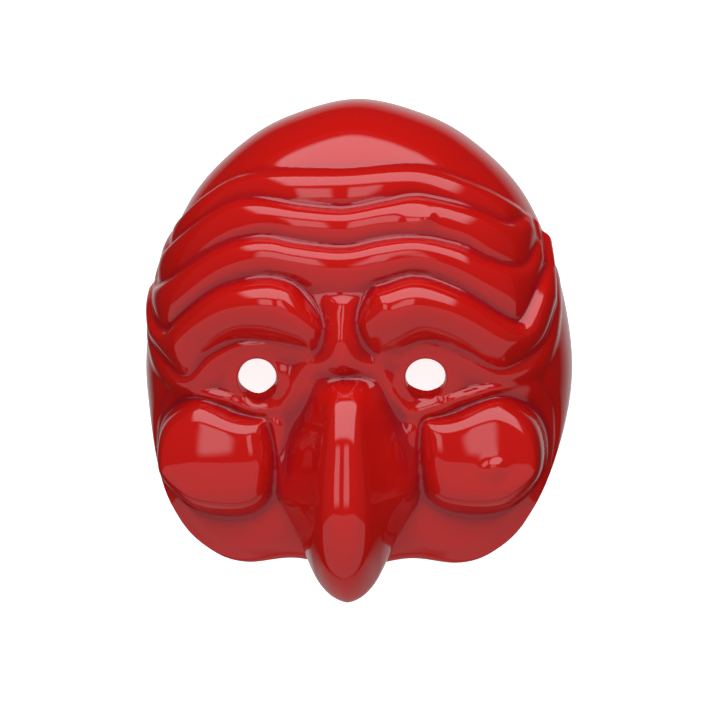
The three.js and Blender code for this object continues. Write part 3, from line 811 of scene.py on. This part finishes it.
def add_node(tree, kind, inputs=None, **settings):
    node = tree.nodes.new(kind)
    for name, value in settings.items():
        setattr(node, name, value)
    connect(tree, node, inputs or {})
    return node


def glaze_tree():
    """Geometry nodes that let the glaze level out, and store how deep each crease is, for the shade
    painted into the creases.
    """
    tree = bpy.data.node_groups.new("Glaze the shell", "GeometryNodeTree")
    for name, kind in GLAZE_INPUTS.items():
        tree.interface.new_socket(name, in_out="INPUT", socket_type=kind)
    tree.interface.new_socket("Geometry", in_out="OUTPUT", socket_type="NodeSocketGeometry")
    given = add_node(tree, "NodeGroupInput").outputs
    place = add_node(tree, "GeometryNodeInputPosition").outputs["Position"]
    normal = add_node(tree, "GeometryNodeInputNormal").outputs["Normal"]
    settles = add_node(tree, "GeometryNodeInputNamedAttribute", {"Name": "settles"})
    level = add_node(tree, "GeometryNodeBlurAttribute", {
        "Value": place,
        "Iterations": given["Levelling"],
        "Weight": settles.outputs["Attribute"],
    }, data_type="FLOAT_VECTOR")
    moved = add_node(tree, "GeometryNodeSetPosition", {
        "Geometry": given["Geometry"],
        "Position": level.outputs["Value"],
    })
    wide = add_node(tree, "GeometryNodeBlurAttribute", {
        "Value": place,
        "Iterations": given["Crease shade reach"],
    }, data_type="FLOAT_VECTOR")
    gap = add_node(tree, "ShaderNodeVectorMath", {0: wide.outputs["Value"], 1: place},
                   operation="SUBTRACT")
    above = add_node(tree, "ShaderNodeVectorMath", {0: gap.outputs["Vector"], 1: normal},
                     operation="DOT_PRODUCT")
    depth = add_node(tree, "ShaderNodeMath", {0: above.outputs["Value"], 1: MM},
                     operation="DIVIDE")
    # How deep each crease is: the material paints shade into the creases by it
    store = add_node(tree, "GeometryNodeStoreNamedAttribute", {
        "Geometry": moved.outputs["Geometry"],
        "Name": "crease_depth",
        "Value": depth.outputs["Value"],
    }, data_type="FLOAT")
    last = store
    for kind in ("GeometryNodeSetShadeSmooth", "GeometryNodeRealizeInstances"):
        last = add_node(tree, kind, {"Geometry": last.outputs["Geometry"]})
    glazed = add_node(tree, "GeometryNodeSetMaterial", {
        "Geometry": last.outputs["Geometry"],
        "Material": given["Material"],
    })
    add_node(tree, "NodeGroupOutput", {"Geometry": glazed.outputs["Geometry"]})
    return tree


def red_glaze(colours):
    """A mirror-bright red with painted shade, darker the deeper a crease is, and a faint ripple."""
    material = bpy.data.materials.new("red_glaze")
    material.use_nodes = True
    tree = material.node_tree
    crease_depth = add_node(tree, "ShaderNodeAttribute", attribute_name="crease_depth")
    share = add_node(tree, "ShaderNodeMapRange", {
        "Value": crease_depth.outputs["Fac"],
        "From Min": CREASE_SHADE_FROM,
        "From Max": CREASE_SHADE_TO,
    })
    # Painted shade: the red darkens towards the crease colour as the crease deepens
    tint = add_node(tree, "ShaderNodeMix", {
        "Factor": share.outputs["Result"],
        "A": (*colours.glaze, 1),
        "B": (*colours.crease_shade, 1),
    }, data_type="RGBA")
    ripple = add_node(tree, "ShaderNodeTexNoise", {
        "Vector": add_node(tree, "ShaderNodeTexCoord").outputs["Object"],
        "Scale": RIPPLE_SCALE,
        "Detail": RIPPLE_DETAIL,
    })
    bump = add_node(tree, "ShaderNodeBump", {
        "Height": ripple.outputs["Fac"],
        "Distance": RIPPLE_HEIGHT * MM,
        "Strength": 1,
    })
    connect(tree, tree.nodes["Principled BSDF"], {
        "Base Color": tint.outputs["Result"],
        "Normal": bump.outputs["Normal"],
        "IOR": GLAZE_IOR,
        "Roughness": GLAZE_ROUGHNESS,
    })
    return material


class MaskSizes(bpy.types.PropertyGroup):
    wall: bpy.props.FloatProperty(
        name="Wall", description="Thickness of the cast wall",
        default=4.2 * MM, min=2 * MM, max=8 * MM, precision=4, unit="LENGTH")
    rim_round: bpy.props.FloatProperty(
        name="Rim rounding", description="Radius of the rim's two edges",
        default=0.8 * MM, precision=4, unit="LENGTH")
    eye_round: bpy.props.FloatProperty(
        name="Eye rounding", description="Radius of the lip round an eye hole",
        default=1.3 * MM, precision=4, unit="LENGTH")
    levelling: bpy.props.IntProperty(
        name="Levelling", description="How far the glaze evens out the modelling",
        default=3, min=0)
    # How far round a place the crease depth is read, for the painted crease shade
    crease_shade_reach: bpy.props.IntProperty(
        name="Crease shade reach", description="How wide the creases are read for the shade painted in them",
        default=24, min=1)


class MaskColours(bpy.types.PropertyGroup):
    glaze: bpy.props.FloatVectorProperty(
        name="Glaze", description="Colour of the glaze on open surfaces",
        subtype="COLOR", default=(0.46, 0.006, 0.004))
    # Painted shade: this darker red is put into the creases in place of the shade that falls there
    crease_shade: bpy.props.FloatVectorProperty(
        name="Painted crease shade", description="Colour painted deep in a crease as shade",
        subtype="COLOR", default=(0.30, 0.004, 0.008))


class MaskStudio(bpy.types.PropertyGroup):
    distance: bpy.props.FloatProperty(
        name="Camera distance", description="From the camera to the mask",
        default=1.5, unit="LENGTH")
    turn: bpy.props.FloatProperty(
        name="Camera turn", description="How far the camera stands to the mask's +X side",
        default=math.radians(5), subtype="ANGLE")
    frame_width: bpy.props.FloatProperty(
        name="Frame width", description="Width of the picture at the mask's rim",
        default=PICTURE_PIXELS * PIXEL * MM, unit="LENGTH")


class MASK_OT_shell(bpy.types.Operator):
    """Models the mask's shell and glazes it"""

    bl_idname = "mask.shell"
    bl_label = "Glazed shell"

    def execute(self, context):
        sizes = context.scene.mask_sizes
        lengths = (sizes.wall, sizes.rim_round, sizes.eye_round)
        mesh = shell_mesh(sculpt_shell(*(length / MM for length in lengths)))
        raw = bpy.data.objects.new("raw_shell", mesh)
        context.scene.collection.objects.link(raw)
        glaze = raw.modifiers.new("Glaze", "NODES")
        tree = glaze_tree()
        inputs = {
            "Levelling": sizes.levelling,
            "Crease shade reach": sizes.crease_shade_reach,
            "Material": red_glaze(context.scene.mask_colours),
        }
        glaze.node_group = tree
        for item in tree.interface.items_tree:
            if item.in_out == "INPUT" and item.name in inputs:
                glaze[item.identifier] = inputs[item.name]
        evaluated = raw.evaluated_get(context.evaluated_depsgraph_get())
        result = bpy.data.meshes.new_from_object(evaluated)
        raw.modifiers.remove(glaze)
        bpy.data.objects.remove(raw)
        bpy.data.meshes.remove(mesh)
        shell = bpy.data.objects.new("glazed_shell", result)
        context.scene.collection.objects.link(shell)
        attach(shell, "root")
        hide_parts(CAD_NODE)
        return {"FINISHED"}


def fade_edges(light, soft):
    """Lets a light fall off towards its edges, over this share of its width and height."""
    light.use_nodes = True
    tree = light.node_tree
    parts = add_node(tree, "ShaderNodeSeparateXYZ", {
        "Vector": add_node(tree, "ShaderNodeNewGeometry").outputs["Parametric"],
    })
    both = add_node(tree, "ShaderNodeMath", operation="MULTIPLY")
    for slot, share in enumerate((parts.outputs["X"], parts.outputs["Y"])):
        from_edge = add_node(tree, "ShaderNodeMath", {0: share, 1: 0.5}, operation="PINGPONG")
        fade = add_node(tree, "ShaderNodeMapRange", {
            "Value": from_edge.outputs["Value"],
            "From Max": soft,
        }, interpolation_type="SMOOTHSTEP")
        connect(tree, both, {slot: fade.outputs["Result"]})
    connect(tree, tree.nodes["Emission"], {"Strength": both.outputs["Value"]})


def softbox(name, place, size, radiance, soft=0.0, faces=SOFTBOX_AIM, mirrored=True):
    """A rectangular light of this brightness per unit of its face, with its width along X."""
    light = bpy.data.lights.new(name, "AREA")
    light.shape = "RECTANGLE"
    light.size, light.size_y = size
    light.energy = radiance * math.pi * size[0] * size[1]
    light.color = SOFTBOX_COLOUR
    if soft:
        fade_edges(light, soft)
    back = (Vector(place) - Vector(faces)).normalized()
    side = (Vector((1, 0, 0)) - back * back.x).normalized()
    turn = Matrix((side, back.cross(side), back)).transposed().to_4x4()
    lamp = bpy.data.objects.new(name, light)
    lamp.matrix_world = Matrix.Translation(place) @ turn
    lamp.visible_camera = False
    lamp.visible_glossy = mirrored
    bpy.context.scene.collection.objects.link(lamp)


def floor_paint():
    """Pale and even to the camera, while the glaze sees it bright only in the glows' ovals."""
    material = bpy.data.materials.new("pale_floor")
    material.use_nodes = True
    tree = material.node_tree
    paint = tree.nodes["Principled BSDF"]
    connect(tree, paint, {
        "Roughness": FLOOR_ROUGHNESS,
        "Specular IOR Level": 0,
        "Emission Color": (1, 1, 1, 1),
        "Emission Strength": FLOOR_LIFT,
    })
    place = add_node(tree, "ShaderNodeTexCoord").outputs["Object"]
    strongest = add_node(tree, "ShaderNodeMath", operation="MAXIMUM")
    for slot, oval in enumerate(FLOOR_GLOWS):
        x, y = oval["middle"]
        half_x, half_y = oval["radii"]
        scaled = add_node(tree, "ShaderNodeVectorMath", {
            0: place,
            1: (1 / (half_x * MM), 1 / (half_y * MM), 0),
            2: (-x / half_x, -y / half_y, 0),
        }, operation="MULTIPLY_ADD")
        out = add_node(tree, "ShaderNodeVectorMath", {0: scaled.outputs["Vector"]},
                       operation="LENGTH")
        fall = add_node(tree, "ShaderNodeMapRange", {
            "Value": out.outputs["Value"],
            "From Min": oval["full"],
            "From Max": oval["end"],
            "To Min": oval["strength"],
            "To Max": FLOOR_GLOW_LEAST,
        })
        connect(tree, strongest, {slot: fall.outputs["Result"]})
    glow = add_node(tree, "ShaderNodeEmission", {"Strength": strongest.outputs["Value"]})
    choice = add_node(tree, "ShaderNodeMixShader", {
        "Fac": add_node(tree, "ShaderNodeLightPath").outputs["Is Camera Ray"],
        1: glow.outputs["Emission"],
        2: paint.outputs["BSDF"],
    })
    connect(tree, tree.nodes["Material Output"], {"Surface": choice.outputs["Shader"]})
    return material


def pale_floor():
    mesh = bpy.data.meshes.new("floor")
    ends = (-FLOOR_REACH, FLOOR_REACH)
    mesh.from_pydata([(x, y, 0) for x in ends for y in ends], [], [(0, 2, 3, 1)])
    mesh.materials.append(floor_paint())
    floor = bpy.data.objects.new("floor", mesh)
    bpy.context.scene.collection.objects.link(floor)


def studio_camera(studio):
    """Looks down on the lying mask, so that its rim is seen at the photograph's size."""
    camera_data = bpy.data.cameras.new("camera")
    camera_data.sensor_width = SENSOR_WIDTH
    camera_data.lens = SENSOR_WIDTH * studio.distance / studio.frame_width
    camera = bpy.data.objects.new("camera", camera_data)
    bpy.context.scene.collection.objects.link(camera)
    camera.rotation_mode = "QUATERNION"
    camera.rotation_quaternion = Matrix.Rotation(studio.turn, 3, "Y").to_quaternion()
    aim = Vector((CAMERA_AIM[0] - MIDDLE[0], CAMERA_AIM[1] - MIDDLE[1], 0)) * MM
    back = Vector((math.sin(studio.turn), 0, math.cos(studio.turn)))
    camera.location = aim + back * studio.distance
    return camera


class MASK_OT_stage(bpy.types.Operator):
    """Lays a pale floor and sets up the lights and the camera"""

    bl_idname = "mask.stage"
    bl_label = "Floor, lights and camera"

    def execute(self, context):
        scene = context.scene
        pale_floor()
        for name, light in SOFTBOXES.items():
            softbox(name, **light)
        world = bpy.data.worlds.new("studio")
        world.use_nodes = True
        connect(world.node_tree, world.node_tree.nodes["Background"], {
            "Color": (1, 1, 1, 1),
            "Strength": WORLD_STRENGTH,
        })
        scene.world = world
        scene.camera = studio_camera(scene.mask_studio)
        scene.view_settings.view_transform = "Standard"
        return {"FINISHED"}


class MASK_PT_panel(bpy.types.Panel):
    """Lists what builds the mask"""

    bl_label = "Theatre half mask"
    bl_space_type = "VIEW_3D"
    bl_region_type = "UI"
    bl_category = "Mask"

    def draw(self, context):
        column = self.layout.column()
        for group, names in PANEL_ROWS.items():
            for name in names:
                column.prop(getattr(context.scene, group), name)
        for operator in OPERATORS:
            column.operator(operator.bl_idname)


PANEL_ROWS = {
    "mask_sizes": ["wall", "rim_round", "eye_round", "levelling", "crease_shade_reach"],
    "mask_colours": ["glaze", "crease_shade"],
    "mask_studio": ["distance", "turn", "frame_width"],
}
PROPERTY_GROUPS = {
    "mask_sizes": MaskSizes,
    "mask_colours": MaskColours,
    "mask_studio": MaskStudio,
}
OPERATORS = (MASK_OT_shell, MASK_OT_stage)


def register():
    for cls in (*PROPERTY_GROUPS.values(), *OPERATORS, MASK_PT_panel):
        bpy.utils.register_class(cls)
    for name, group in PROPERTY_GROUPS.items():
        setattr(bpy.types.Scene, name, bpy.props.PointerProperty(type=group))


def unregister():
    for name in PROPERTY_GROUPS:
        delattr(bpy.types.Scene, name)
    for cls in reversed((*PROPERTY_GROUPS.values(), *OPERATORS, MASK_PT_panel)):
        bpy.utils.unregister_class(cls)


def main():
    register()
    bpy.ops.mask.shell()
    bpy.ops.mask.stage()


if __name__ == "__main__":
    main()
